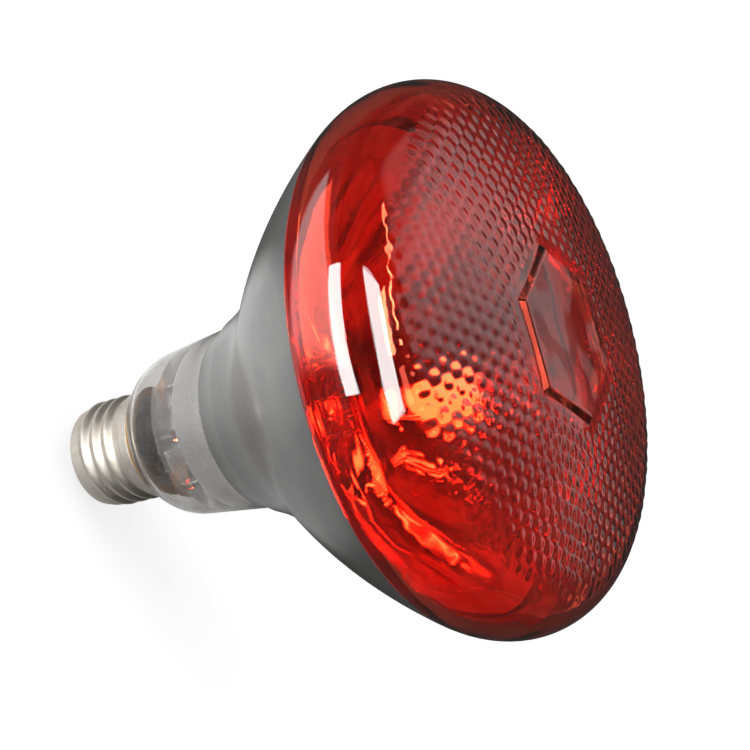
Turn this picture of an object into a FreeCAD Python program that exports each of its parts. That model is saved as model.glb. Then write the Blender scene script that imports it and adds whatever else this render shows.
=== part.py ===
# Infrared heat lamp bulb: a pressed glass reflector lamp with a red front lens and an E27 screw cap.
# Millimetres. +Z runs along the lamp from the cap to the lens, and z = 0 is the tip of the centre contact.
import FreeCAD, Part
import math
import os
import re

import Sketcher
from FreeCAD import Placement, Rotation, Vector

doc = FreeCAD.newDocument("heat_lamp_bulb")

# Driving dimensions, from the cap up. A radius is measured from the lamp's axis, a rise from what lies below.
SIZES = {
    "crest_radius": 13.1,
    "thread_depth": 1.05,
    "thread_pitch": 3.629,
    "shell_wall": 0.35,
    "collar_step": 0.2,
    "collar_length": 2.4,
    "cap_height": 25.2,
    "cone_inset": 1.45,
    "cone_rise": 1.2,
    "insulator_rise": 3.9,
    "insulator_lap": 0.2,
    "contact_radius": 4.7,
    "contact_rim": 0.5,
    "contact_sheet": 0.7,
    "lead_hole": 1.4,
    "solder_drop": 0.8,
    "solder_flat": 1.1,
    "solder_lap": 0.9,
    "glass_gap": 1.0,
    "cement_wall": 1.1,
    "stub_wall": 2.4,
    "stub_length": 9.0,
    "shoulder_ledge": 0.2,
    "shoulder_rise": 9.8,
    "shoulder_roll": 12.8,
    "shoulder_wall": 2.0,
    "shoulder_bore_roll": 5.5,
    "neck_taper": 1.9,
    "neck_top_radius": 21.7,
    "neck_wall": 2.9,
    "neck_length": 18.2,
    "step_width": 0.85,
    "step_rise": 3.2,
    "bead_width": 1.3,
    "bead_rise": 1.4,
    "throat_rise": 15.7,
    "throat_roll": 40.0,
    "bowl_foot_radius": 34.3,
    "bowl_rise": 31.0,
    "bowl_roll": 125.0,
    "lip_drop": 9.0,
    "lip_roll": 18.5,
    "rim_radius": 61.0,
    "lens_wall": 3.2,
    "edge_roll": 16.0,
    "dome_rise": 21.1,
    "window_radius": 18.3,
    "window_rise": 0.4,
    "window_sink": 1.6,
    "window_turn": 21.0,
    "window_draft": 45.0,
    "window_round": 0.7,
    "floor_rise": 2.5,
    "floor_thickness": 5.0,
    "fit_gap": 0.1,
    "ferrule_gap": 1.1,
    "ferrule_taper": 2.0,
    "ferrule_foot_gap": 1.6,
    "ferrule_wall": 0.5,
    "post_radius": 0.8,
    "post_hole_gap": 0.5,
    "post_rise": 32.5,
    "coil_turns": 11,
    "filament_wire": 0.28,
    "tail_length": 2.6,
    "tail_wire": 0.31,
    "tail_gap": 0.19,
    "bridge_rise": 13.5,
    "bridge_radius": 1.5,
    "support_wire": 0.35,
    "tube_radius": 2.3,
    "tube_wall": 1.0,
    "tube_length": 11.0,
    "lead_wire": 0.3,
    "lead_inset": 1.0,
}
sheet = doc.addObject("Spreadsheet::Sheet", "Sizes")
for row, (alias, value) in enumerate(SIZES.items(), start=1):
    sheet.set(f"A{row}", alias.replace("_", " "))
    sheet.set(f"B{row}", str(value))
    sheet.setAlias(f"B{row}", alias)
doc.recompute()


def bound(text):
    """An expression over the sheet, from a text that gives each cell by its bare alias."""
    return re.sub(r"[a-z_]+", lambda word: "Sizes." * (word[0] in SIZES) + word[0], str(text))


def worked(text):
    """The number that such a text gives now."""
    return float(sheet.evalExpression(bound(text)))


def new_body(label):
    body = doc.addObject("PartDesign::Body", label)
    body.Label = label
    return body


def new_sketch(body, name, plane="XZ_Plane", offset=None):
    """A sketch on one of the body's own planes. On XZ_Plane its x is the radius and its y the height."""
    sketch = body.newObject("Sketcher::SketchObject", f"{body.Label}_{name}")
    origin_plane = next(part for part in body.Origin.OriginFeatures if part.Role == plane)
    sketch.AttachmentSupport = [(origin_plane, "")]
    sketch.MapMode = "FlatFace"
    if offset:
        sketch.setExpression("AttachmentOffset.Base.z", bound(offset))
    doc.recompute()
    return sketch


def hold(sketch, constraint, text):
    """Adds a constraint and ties its value to the sheet."""
    index = sketch.addConstraint(constraint)
    sketch.setExpression(f"Constraints[{index}]", bound(text))


def pin_point(sketch, curve, end, corner):
    """Holds one end of a curve at a corner that is given as two texts."""
    for kind, text in zip(("DistanceX", "DistanceY"), corner):
        value = worked(text)
        if abs(value) < 1e-9:
            axis = -2 if kind == "DistanceX" else -1
            sketch.addConstraint(Sketcher.Constraint("PointOnObject", curve, end, axis))
        else:
            hold(sketch, Sketcher.Constraint(kind, -1, 1, curve, end, value), text)


def arc_between(start, end, radius, left):
    """The shorter arc that joins two points. It bulges to the left or the right of the way to the end."""
    chord = end - start
    across = Vector(chord.y, -chord.x, 0).normalize() * (1 if left else -1)
    reach = math.sqrt(max(radius ** 2 - (chord.Length / 2) ** 2, 0.0))
    centre = (start + end) * 0.5 + across * reach
    first, last = (end, start) if left else (start, end)
    angles = [math.atan2(point.y - centre.y, point.x - centre.x) for point in (first, last)]
    if angles[1] < angles[0]:
        angles[1] += 2 * math.pi
    return Part.ArcOfCircle(Part.Circle(centre, Vector(0, 0, 1), radius), *angles)


def outline(sketch, corners, arcs=None):
    """A closed outline through corners given as texts. arcs maps a side's number to (radius, left)."""
    arcs = arcs or {}
    points = [Vector(worked(x), worked(y), 0) for x, y in corners]
    ends = []
    for side, start in enumerate(points):
        end = points[(side + 1) % len(points)]
        radius, left = arcs.get(side, (None, False))
        ends.append((2, 1) if left else (1, 2))
        if radius:
            sketch.addGeometry(arc_between(start, end, worked(radius), left), False)
            hold(sketch, Sketcher.Constraint("Radius", side, worked(radius)), radius)
        else:
            sketch.addGeometry(Part.LineSegment(start, end), False)
    for side, corner in enumerate(corners):
        before = (side - 1) % len(corners)
        sketch.addConstraint(Sketcher.Constraint("Coincident", before, ends[before][1], side, ends[side][0]))
        pin_point(sketch, side, ends[side][0], corner)
    return sketch


def circle(sketch, x, y, radius):
    curve = sketch.addGeometry(Part.Circle(Vector(worked(x), worked(y), 0), Vector(0, 0, 1), worked(radius)))
    hold(sketch, Sketcher.Constraint("Radius", curve, worked(radius)), radius)
    pin_point(sketch, curve, 3, (x, y))


def revolve(body, name, corners, arcs=None):
    """Turns an outline of (radius, height) corners about the lamp's axis."""
    sketch = outline(new_sketch(body, name), corners, arcs)
    turned = body.newObject("PartDesign::Revolution", f"{body.Label}_{name}_turned")
    turned.Profile = (sketch, [""])
    turned.ReferenceAxis = (sketch, ["V_Axis"])
    turned.Angle = 360
    doc.recompute()
    return turned


def pad(body, sketch, length, **settings):
    raised = body.newObject("PartDesign::Pad", f"{sketch.Label}_pad")
    raised.Profile = (sketch, [""])
    raised.setExpression("Length", bound(length))
    for key, value in settings.items():
        setattr(raised, key, value)
    doc.recompute()
    return raised


# Radii and heights that more than one piece shares, each worked out from the driving dimensions.
root_radius = "(crest_radius - thread_depth)"
shell_bore = f"({root_radius} - shell_wall)"
collar_radius = "(crest_radius + collar_step)"
collar_foot = "(cap_height - collar_length)"
plate_top = "(solder_drop + contact_sheet)"
shell_foot_radius = f"({root_radius} - cone_inset)"
shell_foot = f"({plate_top} + insulator_rise)"
cone_top = f"({shell_foot} + cone_rise)"
thread_start = f"({cone_top} + thread_pitch / 2)"
insulator_top = f"({thread_start} + insulator_lap)"
stub_radius = f"({shell_bore} - cement_wall)"
stub_bore = f"({stub_radius} - stub_wall)"
glass_foot = "(cap_height + glass_gap)"
stub_foot = f"({glass_foot} - stub_length)"
shoulder_floor = f"({glass_foot} + shoulder_wall)"
shoulder_height = f"({glass_foot} + shoulder_rise)"
shoulder_radius = "(neck_top_radius - neck_taper)"
neck_bore = f"({shoulder_radius} - neck_wall)"
floor_bottom = f"({shoulder_height} + floor_rise)"
floor_top = f"({floor_bottom} + floor_thickness)"
neck_top = f"({shoulder_height} + neck_length)"
throat_foot = f"({neck_top} + step_rise + bead_rise)"
bowl_foot = f"({throat_foot} + throat_rise)"
seam_height = f"({bowl_foot} + bowl_rise)"
rim_height = f"({seam_height} + lip_drop)"
apex_height = f"({rim_height} + dome_rise)"
ferrule_radius = f"(({neck_bore} - tube_radius) / 2 - ferrule_gap)"
ferrule_foot_radius = f"({ferrule_radius} - ferrule_taper)"
ferrule_spread = f"(tube_radius + ferrule_gap + {ferrule_radius})"
ferrule_rim = f"({floor_bottom} - fit_gap)"
ferrule_foot = f"({shoulder_floor} + ferrule_foot_gap)"
coil_radius = "(post_radius + tail_wire + tail_gap)"
coil_length = f"(2 * ({ferrule_spread} - tail_length))"
filament_height = f"({floor_top} + post_rise)"
bridge_height = f"({floor_top} + bridge_rise)"

# The red glass: the lip below the rim is round, the rim rolls over, and a flatter dome closes the front.
roll_centre = "(rim_radius - edge_roll)"
dome_radius = f"(({roll_centre}^2 + dome_rise^2 - edge_roll^2) / (2 * (dome_rise - edge_roll)))"
dome_centre = f"({apex_height} - {dome_radius})"


def on_dome(wall):
    """Where the dome meets the rolled rim, at a depth below the outer surface."""
    share = f"(({dome_radius} - {wall}) / ({dome_radius} - edge_roll))"
    return f"{roll_centre} * {share}", f"{dome_centre} + ({rim_height} - {dome_centre}) * {share}"


def seam_radius(wall):
    """The lip's radius on the seam, at a depth below the outer surface."""
    return f"(rim_radius - lip_roll + sqrt((lip_roll - {wall})^2 - lip_drop^2))"


def front_lens():
    body = new_body("front_lens")
    corners = [
        ("0", apex_height),
        on_dome("0"),
        ("rim_radius", rim_height),
        (seam_radius("0"), seam_height),
        (seam_radius("lens_wall"), seam_height),
        ("rim_radius - lens_wall", rim_height),
        on_dome("lens_wall"),
        ("0", f"{apex_height} - lens_wall"),
    ]
    arcs = {
        0: (dome_radius, True),
        1: ("edge_roll", True),
        2: ("lip_roll", True),
        4: ("lip_roll - lens_wall", False),
        5: ("edge_roll - lens_wall", False),
        6: (f"{dome_radius} - lens_wall", False),
    }
    revolve(body, "glass", corners, arcs)
    add_window(body)
    return body


def add_window(body):
    """The clear six-sided window stands proud of the dome on drafted sides."""
    sketch = new_sketch(body, "window", "XY_Plane", f"{apex_height} - window_sink")
    ring = "(window_radius + (window_sink + window_rise) * tan(window_draft) * 2 / sqrt(3))"
    corners = []
    for corner in range(6):
        turn = f"(window_turn + {60 * corner})"
        corners.append((f"-{ring} * sin({turn})", f"-{ring} * cos({turn})"))
    outline(sketch, corners)
    raised = pad(body, sketch, "window_sink + window_rise")
    raised.setExpression("TaperAngle", bound("-window_draft"))
    doc.recompute()
    top = worked(f"{apex_height} + window_rise")
    rounded = body.newObject("PartDesign::Fillet", "front_lens_window_edges")
    rounded.Base = (raised, edges_at(raised, top))
    rounded.setExpression("Radius", bound("window_round"))
    doc.recompute()


def edges_at(feature, height):
    """The names of the edges that lie level at one height."""
    near = 1e-4
    return [f"Edge{number}" for number, edge in enumerate(feature.Shape.Edges, start=1)
            if edge.BoundBox.ZLength < near and abs(edge.BoundBox.ZMax - height) < near]


def reflector_shell():
    """The clear glass: bowl, throat, a bead and a step, the neck, its shoulder and the stub in the cap."""
    body = new_body("reflector_shell")
    across = f"({seam_radius('0')} - {seam_radius('lens_wall')})"
    bead_radius = "(neck_top_radius + step_width + bead_width)"
    corners = [
        (seam_radius("0"), seam_height),
        ("bowl_foot_radius", bowl_foot),
        (bead_radius, throat_foot),
        ("neck_top_radius + step_width", f"{throat_foot} - bead_rise"),
        ("neck_top_radius", neck_top),
        (shoulder_radius, shoulder_height),
        (f"{collar_radius} + shoulder_ledge", glass_foot),
        (stub_radius, glass_foot),
        (stub_radius, stub_foot),
        (stub_bore, stub_foot),
        (stub_bore, shoulder_floor),
        (f"{neck_bore} - shoulder_bore_roll", shoulder_floor),
        (neck_bore, f"{shoulder_floor} + shoulder_bore_roll"),
        (neck_bore, floor_bottom),
        ("0", floor_bottom),
        ("0", floor_top),
        (neck_bore, floor_top),
        (f"{bead_radius} - {across}", throat_foot),
        (f"bowl_foot_radius - {across}", bowl_foot),
        (seam_radius("lens_wall"), seam_height),
    ]
    arcs = {
        0: ("bowl_roll", True),
        1: ("throat_roll", False),
        5: ("shoulder_roll", True),
        11: ("shoulder_bore_roll", False),
        17: ("throat_roll", True),
        18: ("bowl_roll", False),
    }
    revolve(body, "glass", corners, arcs)
    sketch = new_sketch(body, "lead_holes", "XY_Plane", f"{floor_bottom} - fit_gap")
    for side in ("-", ""):
        circle(sketch, f"{side}{ferrule_spread}", "0", "post_radius + post_hole_gap")
    circle(sketch, "0", "0", "tube_radius - tube_wall")
    holes = body.newObject("PartDesign::Pocket", "reflector_shell_lead_holes_cut")
    holes.Profile = (sketch, [""])
    holes.setExpression("Length", bound("floor_thickness + 2 * fit_gap"))
    holes.Reversed = True
    doc.recompute()
    return body


def ferrule(label, side):
    """A thimble of thin copper-plated metal, sealed by its open rim to the underside of the glass floor."""
    body = new_body(label)
    corners = [
        ("0", ferrule_foot),
        (ferrule_foot_radius, ferrule_foot),
        (ferrule_radius, ferrule_rim),
        (f"{ferrule_radius} - ferrule_wall", ferrule_rim),
        (f"{ferrule_foot_radius} - ferrule_wall", f"{ferrule_foot} + ferrule_wall"),
        ("0", f"{ferrule_foot} + ferrule_wall"),
    ]
    cup = revolve(body, "cup", corners)
    rounded = body.newObject("PartDesign::Fillet", f"{label}_foot_round")
    rounded.Base = (cup, edges_at(cup, worked(ferrule_foot)))
    rounded.setExpression("Radius", bound(f"{ferrule_foot_radius} / 4"))
    body.setExpression("Placement.Base.x", bound(f"{side} * {ferrule_spread}"))
    doc.recompute()
    return body


# Wires bend in space, so each one is a swept round section along straight runs and arcs.
def bent_path(points, bend):
    """Straight runs through the points, with an arc of one radius at each inner point."""
    edges = []
    start = points[0]
    for before, corner, after in zip(points, points[1:], points[2:]):
        back = (before - corner).normalize()
        ahead = (after - corner).normalize()
        half = back.getAngle(ahead) / 2
        trim = bend / math.tan(half)
        arc_start = corner + back * trim
        arc_end = corner + ahead * trim
        middle_way = (back + ahead).normalize()
        arc_middle = corner + middle_way * (bend / math.sin(half) - bend)
        edges.append(Part.LineSegment(start, arc_start).toShape())
        edges.append(Part.Arc(arc_start, arc_middle, arc_end).toShape())
        start = arc_end
    edges.append(Part.LineSegment(start, points[-1]).toShape())
    return Part.Wire(edges)


def wire(label, points, radius, bend):
    path = bent_path(points, bend)
    section = Part.Wire(Part.Circle(points[0], points[1] - points[0], radius).toShape())
    feature = doc.addObject("Part::Feature", label)
    feature.Label = label
    feature.Shape = path.makePipeShell([section], True, False)
    feature.Placement = Placement()
    return feature


def lead_post(label, side):
    """A stiff nickel wire from the ferrule's foot up to the filament, its top bent over the coil's tail."""
    x = side * worked(ferrule_spread)
    foot = worked(f"{ferrule_foot} + ferrule_wall + fit_gap")
    top = worked(f"{filament_height} + tail_wire + fit_gap + post_radius")
    reach = worked(f"{coil_radius} + filament_wire + post_radius")
    points = [Vector(x, 0, foot), Vector(x, 0, top), Vector(x, reach, top)]
    return wire(label, points, worked("post_radius"), worked("post_radius * 1.2"))


def filament():
    """A tungsten coil across the lamp. It is wound along its own Z and then laid along X."""
    body = new_body("filament")
    section = new_sketch(body, "coil_wire")
    circle(section, coil_radius, f"-{coil_length} / 2", "filament_wire")
    coil = body.newObject("PartDesign::AdditiveHelix", "filament_coil")
    coil.Profile = (section, [""])
    coil.ReferenceAxis = (section, ["V_Axis"])
    coil.Mode = "pitch-turns-angle"
    coil.setExpression("Pitch", bound(f"{coil_length} / coil_turns"))
    coil.setExpression("Turns", bound("coil_turns"))
    doc.recompute()
    for name, half, back in (("first", "-", True), ("last", "", False)):
        tail = new_sketch(body, f"{name}_tail", "XY_Plane", f"{half}({coil_length} / 2 - filament_wire)")
        circle(tail, coil_radius, "0", "tail_wire")
        pad(body, tail, "filament_wire + tail_length + post_radius", Reversed=back)
    body.Placement = Placement(Vector(0, 0, 0), Rotation(Vector(0, 1, 0), Vector(0, 0, 1), Vector(1, 0, 0)))
    body.setExpression("Placement.Base.z", bound(filament_height))
    doc.recompute()
    return body


def bridge():
    """A glass bead rod that ties the two posts and carries the filament's middle support."""
    body = new_body("post_bridge")
    rod = new_sketch(body, "rod", "YZ_Plane")
    circle(rod, "0", bridge_height, "bridge_radius")
    pad(body, rod, f"2 * ({ferrule_spread} + post_radius + bridge_radius)", Midplane=True)
    holes = new_sketch(body, "post_holes", "XY_Plane", bridge_height)
    for side in ("-", ""):
        circle(holes, f"{side}{ferrule_spread}", "0", "post_radius + fit_gap")
    circle(holes, "0", "0", "support_wire + fit_gap")
    cut_through(body, holes, "4 * bridge_radius")
    return body


def cut_through(body, sketch, length):
    hole = body.newObject("PartDesign::Pocket", f"{sketch.Label}_cut")
    hole.Profile = (sketch, [""])
    hole.Midplane = True
    hole.setExpression("Length", bound(length))
    doc.recompute()
    return hole


def filament_support():
    """A thin wire held in the bridge, whose cranked top stands beside the middle of the coil."""
    reach = worked(f"{coil_radius} + filament_wire + fit_gap + support_wire")
    foot = worked(f"{bridge_height} - bridge_radius - support_wire")
    under = worked(filament_height) - reach
    points = [
        Vector(0, 0, foot),
        Vector(0, 0, under - 2 * reach),
        Vector(0, reach, under - reach),
        Vector(0, reach, under + 2 * reach + worked("support_wire")),
    ]
    return wire("filament_support", points, worked("support_wire"), worked("support_wire * 2"))


def exhaust_tube():
    """The glass tube that the lamp was pumped through, melted shut at its tip under the floor."""
    body = new_body("exhaust_tube")
    tip = f"({ferrule_rim} - tube_length)"
    bore = "(tube_radius - tube_wall)"
    corners = [
        ("0", tip),
        ("tube_radius", f"{tip} + 1.6 * tube_radius"),
        ("tube_radius", ferrule_rim),
        (bore, ferrule_rim),
        (bore, f"{tip} + 2 * tube_radius"),
        ("0", f"{tip} + 2 * tube_radius - {bore}"),
    ]
    revolve(body, "tube", corners, {0: ("1.7 * tube_radius", False), 4: (f"1.2 * {bore}", True)})
    return body


# The screw cap.
def screw_shell():
    """Thin nickel-plated brass: a cone at the foot, a rolled round thread and a plain collar at the glass."""
    body = new_body("screw_shell")
    slope_foot = f"{collar_foot} - thread_depth - collar_step"
    corners = [
        (shell_foot_radius, shell_foot),
        (root_radius, cone_top),
        (root_radius, slope_foot),
        (collar_radius, collar_foot),
        (collar_radius, "cap_height"),
        (f"{collar_radius} - shell_wall", "cap_height"),
        (f"{collar_radius} - shell_wall", collar_foot),
        (shell_bore, slope_foot),
        (shell_bore, cone_top),
        (f"{shell_foot_radius} - shell_wall", shell_foot),
    ]
    revolve(body, "wall", corners)
    ridge(body, "thread", "0", "PartDesign::AdditiveHelix")
    ridge(body, "inside", "shell_wall", "PartDesign::SubtractiveHelix")
    return body


def ridge(body, name, depth, kind):
    """One rolled ridge of the round thread: a crest arc between two root arcs, wound up the wall."""
    sketch = new_sketch(body, name)
    swing = "(thread_depth / 4 + thread_pitch^2 / (16 * thread_depth))"
    middle = f"crest_radius - thread_depth / 2 - {depth}"
    inner = f"{root_radius} - {depth}"
    back = f"{root_radius} - {depth} - shell_wall / 2"
    quarter = "thread_pitch / 4"
    half = "thread_pitch * 0.48"
    corners = [
        (back, f"{thread_start} - {half}"),
        (inner, f"{thread_start} - {half}"),
        (middle, f"{thread_start} - {quarter}"),
        (middle, f"{thread_start} + {quarter}"),
        (inner, f"{thread_start} + {half}"),
        (back, f"{thread_start} + {half}"),
    ]
    outline(sketch, corners, {1: (swing, True), 2: (swing, False), 3: (swing, True)})
    wound = body.newObject(kind, f"screw_shell_{name}_wound")
    wound.Profile = (sketch, [""])
    wound.ReferenceAxis = (sketch, ["V_Axis"])
    wound.Mode = "pitch-turns-angle"
    wound.setExpression("Pitch", bound("thread_pitch"))
    wound.setExpression("Turns", bound(f"({collar_foot} - {thread_start} - thread_pitch / 2) / thread_pitch"))
    doc.recompute()
    return wound


def insulator():
    """Black glass moulded in the cap's foot, with a flared hole for the contact wire."""
    body = new_body("insulator")
    seat = f"({shell_foot_radius} - shell_wall - fit_gap)"
    corners = [
        ("lead_hole", plate_top),
        ("contact_radius + contact_rim", plate_top),
        (seat, f"{shell_foot} - fit_gap"),
        (seat, f"{shell_foot} + fit_gap"),
        (f"{shell_bore} - fit_gap", f"{cone_top} + fit_gap"),
        (f"{shell_bore} - fit_gap", insulator_top),
        ("lead_hole * 3", insulator_top),
        ("lead_hole", f"{insulator_top} - lead_hole"),
    ]
    revolve(body, "glass", corners)
    return body


def contact_plate():
    """The centre contact: a small plated disc whose hole is closed by the solder."""
    body = new_body("contact_plate")
    corners = [
        ("lead_hole", plate_top),
        ("lead_hole", "solder_drop"),
        ("contact_radius - contact_sheet", "solder_drop"),
        ("contact_radius", plate_top),
    ]
    revolve(body, "disc", corners, {2: ("contact_sheet", False)})
    return body


def contact_solder():
    """A drop of solder with a worn flat tip. Its stem fills the hole around the contact wire."""
    body = new_body("contact_solder")
    corners = [
        ("0", "0"),
        ("solder_flat", "0"),
        ("lead_hole + solder_lap", "solder_drop"),
        ("lead_hole - fit_gap", "solder_drop"),
        ("lead_hole - fit_gap", plate_top),
        ("0", plate_top),
    ]
    revolve(body, "drop", corners, {1: ("lead_hole + solder_lap - solder_flat", False)})
    return body


def cement_ring():
    """Baked amber cement between the glass stub and the collar, showing as a band above the collar."""
    body = new_body("cement_ring")
    outer = f"{collar_radius} - shell_wall - fit_gap"
    corners = [
        (f"{stub_radius} + fit_gap", collar_foot),
        (outer, collar_foot),
        (outer, "cap_height + fit_gap"),
        (collar_radius, "cap_height + fit_gap"),
        (collar_radius, f"{glass_foot} - fit_gap"),
        (f"{stub_radius} + fit_gap", f"{glass_foot} - fit_gap"),
    ]
    revolve(body, "band", corners, {3: ("glass_gap", False)})
    return body


# Both fine wires leave the ferrules inside the stub's bore.
lead_top = f"{ferrule_foot} - fit_gap"
lead_start = f"({stub_bore} - lead_inset)"


def contact_lead():
    """The fine wire from the left ferrule's foot down to the centre contact."""
    x = -worked(lead_start)
    points = [
        Vector(x, 0, worked(lead_top)),
        Vector(x, 0, worked(f"{stub_foot} + stub_length / 2")),
        Vector(x / 2, 0, worked(f"{stub_foot} - stub_length / 6")),
        Vector(0, 0, worked(f"{insulator_top} + glass_gap")),
        Vector(0, 0, worked(f"{plate_top} + fit_gap")),
    ]
    return wire("contact_lead", points, worked("lead_wire"), worked("lead_wire * 4"))


def side_lead():
    """The fine wire from the right ferrule's foot, under the stub's end and up inside the collar."""
    x = worked(lead_start)
    y = worked(f"({stub_radius} + {shell_bore}) / 2")
    low = worked(f"{stub_foot} - stub_length / 4")
    points = [
        Vector(x, 0, worked(lead_top)),
        Vector(x, 0, worked(f"{stub_foot} + stub_length / 2")),
        Vector(x / 2, worked(f"{stub_bore} / 3"), worked(f"{stub_foot} + stub_length / 6")),
        Vector(0, worked(f"{stub_bore} / 2"), low),
        Vector(0, y, low),
        Vector(0, y, worked(f"{collar_foot} - 2 * fit_gap")),
    ]
    return wire("side_lead", points, worked("lead_wire"), worked("lead_wire * 2"))


bodies = [
    front_lens(),
    reflector_shell(),
    ferrule("ferrule_left", -1),
    ferrule("ferrule_right", 1),
    lead_post("lead_post_left", -1),
    lead_post("lead_post_right", 1),
    filament(),
    bridge(),
    filament_support(),
    exhaust_tube(),
    screw_shell(),
    insulator(),
    contact_plate(),
    contact_solder(),
    cement_ring(),
    contact_lead(),
    side_lead(),
]
doc.recompute()

for item in doc.Objects:
    if {"Invalid", "Error"} & set(item.State):
        raise RuntimeError(f"{item.Label} did not build: {item.State}")
for body in bodies:
    if body.Shape.isNull() or not body.Shape.isValid() or not body.Shape.Solids:
        raise RuntimeError(f"{body.Label} has no valid solid")
os.makedirs("parts", exist_ok=True)
for body in bodies:
    body.Shape.exportStep(f"parts/{body.Label}.step")
    print(f"{body.Label}: {len(body.Shape.Solids)} solid, {body.Shape.Volume:.1f} mm3")
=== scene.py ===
# %% [markdown]
# The object is an infrared heat lamp: a pressed-glass bulb with a ruby front, a silvered bowl, a clear neck and a
# nickel screw cap. The imported CAD model is loaded first, because it fixes every size. All lengths here are metres,
# so sizes in millimetres are multiplied by MM.

# %% Load the frame
import math
import bmesh
import bpy
from mathutils import Matrix, Vector


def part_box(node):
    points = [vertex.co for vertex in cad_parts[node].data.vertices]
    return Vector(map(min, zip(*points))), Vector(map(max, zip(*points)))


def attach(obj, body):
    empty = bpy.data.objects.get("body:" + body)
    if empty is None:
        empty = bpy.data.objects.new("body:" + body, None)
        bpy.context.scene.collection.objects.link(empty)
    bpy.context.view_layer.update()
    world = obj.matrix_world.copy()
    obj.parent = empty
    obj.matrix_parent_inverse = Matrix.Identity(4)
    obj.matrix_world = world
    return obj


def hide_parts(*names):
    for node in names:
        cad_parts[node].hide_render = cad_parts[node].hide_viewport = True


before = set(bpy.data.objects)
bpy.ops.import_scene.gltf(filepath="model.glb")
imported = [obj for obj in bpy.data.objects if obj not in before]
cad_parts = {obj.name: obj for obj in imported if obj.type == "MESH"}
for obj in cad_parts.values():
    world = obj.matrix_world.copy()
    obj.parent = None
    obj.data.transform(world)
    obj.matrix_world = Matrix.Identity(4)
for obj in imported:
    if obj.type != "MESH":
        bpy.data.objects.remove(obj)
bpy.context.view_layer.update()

MM = 0.001
print("nodes of the frame:", sorted(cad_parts))

# %% [markdown]
# The camera stands where the photograph was taken from. Its place and its three directions came from fitting the
# lamp's known outline to the photograph, so they are written out as numbers instead of being aimed by eye.

# %% Camera
right = Vector((0.18975, 0.52197, 0.83160))
above = Vector((-0.97494, 0.0, 0.22250))
behind = right.cross(above)
stand = Matrix.Translation((0.0420, -0.3237, 0.2808))
camera = bpy.data.objects.new("camera", bpy.data.cameras.new("camera"))
bpy.context.scene.collection.objects.link(camera)
camera.matrix_world = stand @ Matrix((right, above, behind)).transposed().to_4x4()
camera.data.sensor_width = 36.0
camera.data.lens = 81.6
camera.data.clip_start = 0.01
bpy.context.scene.camera = camera
print("camera looks along", tuple(round(-part, 3) for part in behind))

# %% [markdown]
# A procedural finish is a tree of nodes, and a few helpers keep the trees short. add() places a node and sets its
# values, sums() and vectors() do arithmetic, and fade() goes smoothly from one value to another between two places.

# %% Helpers for nodes
def add(tree, kind, label="", **inputs):
    """A node: each further name is an attribute of it or one of its sockets, with _ for a space."""
    node = tree.nodes.new(kind)
    node.label = label
    for key, value in inputs.items():
        name = key.replace("_", " ")
        if hasattr(node, key):
            setattr(node, key, value)
        elif isinstance(value, bpy.types.NodeSocket):
            tree.links.new(value, node.inputs[name])
        else:
            node.inputs[name].default_value = value
    return node


def sums(tree, operation, first, second=0.0, third=0.0):
    node = add(tree, "ShaderNodeMath", operation.lower(), operation=operation)
    for socket, value in zip(node.inputs, (first, second, third)):
        if isinstance(value, bpy.types.NodeSocket):
            tree.links.new(value, socket)
        else:
            socket.default_value = value
    return node.outputs[0]


def vectors(tree, operation, *values, **settings):
    """Like sums(), for vectors. LENGTH gives a number."""
    node = add(tree, "ShaderNodeVectorMath", operation.lower(), operation=operation, **settings)
    for socket, value in zip(node.inputs, values):
        tree.links.new(value, socket)
    return node.outputs["Value" if operation == "LENGTH" else "Vector"]


def fade(tree, value, start, end, at_start, at_end):
    ramp = add(tree, "ShaderNodeMapRange", "fade", interpolation_type="SMOOTHSTEP", Value=value,
               From_Min=start, From_Max=end, To_Min=at_start, To_Max=at_end)
    return ramp.outputs["Result"]


# %% [markdown]
# new_finish() starts a material whose Principled shader is there already. Its patterns read Object coordinates, so
# they stay on the piece. new_group() makes a group of nodes with named inputs and outputs, which more than one
# finish can use, and use_group() places it in a finish with that finish's own values.

# %% Helpers for finishes and groups
def new_finish(name, **settings):
    finish = bpy.data.materials.new(name)
    finish.use_nodes = True
    shader = finish.node_tree.nodes["Principled BSDF"]
    for key, value in settings.items():
        shader.inputs[key.replace("_", " ")].default_value = value
    place = finish.node_tree.nodes.new("ShaderNodeTexCoord").outputs["Object"]
    return finish, finish.node_tree, shader, place


def new_group(name, entries, results, tree_type="ShaderNodeTree"):
    group = bpy.data.node_groups.new(name, tree_type)
    for label, kind, value in entries:
        socket = group.interface.new_socket(label, in_out="INPUT", socket_type=kind)
        if value is not None:
            socket.default_value = value
    for label, kind in results:
        group.interface.new_socket(label, in_out="OUTPUT", socket_type=kind)
    return group, group.nodes.new("NodeGroupInput").outputs, group.nodes.new("NodeGroupOutput").inputs


def use_group(tree, group, **inputs):
    return add(tree, "ShaderNodeGroup", group.name, node_tree=group, **inputs)


# %% [markdown]
# Two marks are on nearly every surface of a real lamp. Glass and metal that was pressed or drawn is never quite
# even, so light bends in slow waves on it. Handling leaves smudges and hair scratches, which change the gloss more
# than the colour. Each is a node group, built once and placed in each finish with its own size.

# %% Shared group: slow waves
waves, waves_in, waves_out = new_group(
    "slow_waves",
    [("Place", "NodeSocketVector", None), ("Size", "NodeSocketFloat", 120.0), ("Seed", "NodeSocketFloat", 0.0)],
    [("Height", "NodeSocketFloat")],
)
noise = add(waves, "ShaderNodeTexNoise", "waves", noise_dimensions="4D", Vector=waves_in["Place"],
            Scale=waves_in["Size"], W=waves_in["Seed"], Detail=1.0, Roughness=0.4)
waves.links.new(noise.outputs["Fac"], waves_out["Height"])
print("group:", waves.name)

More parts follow.
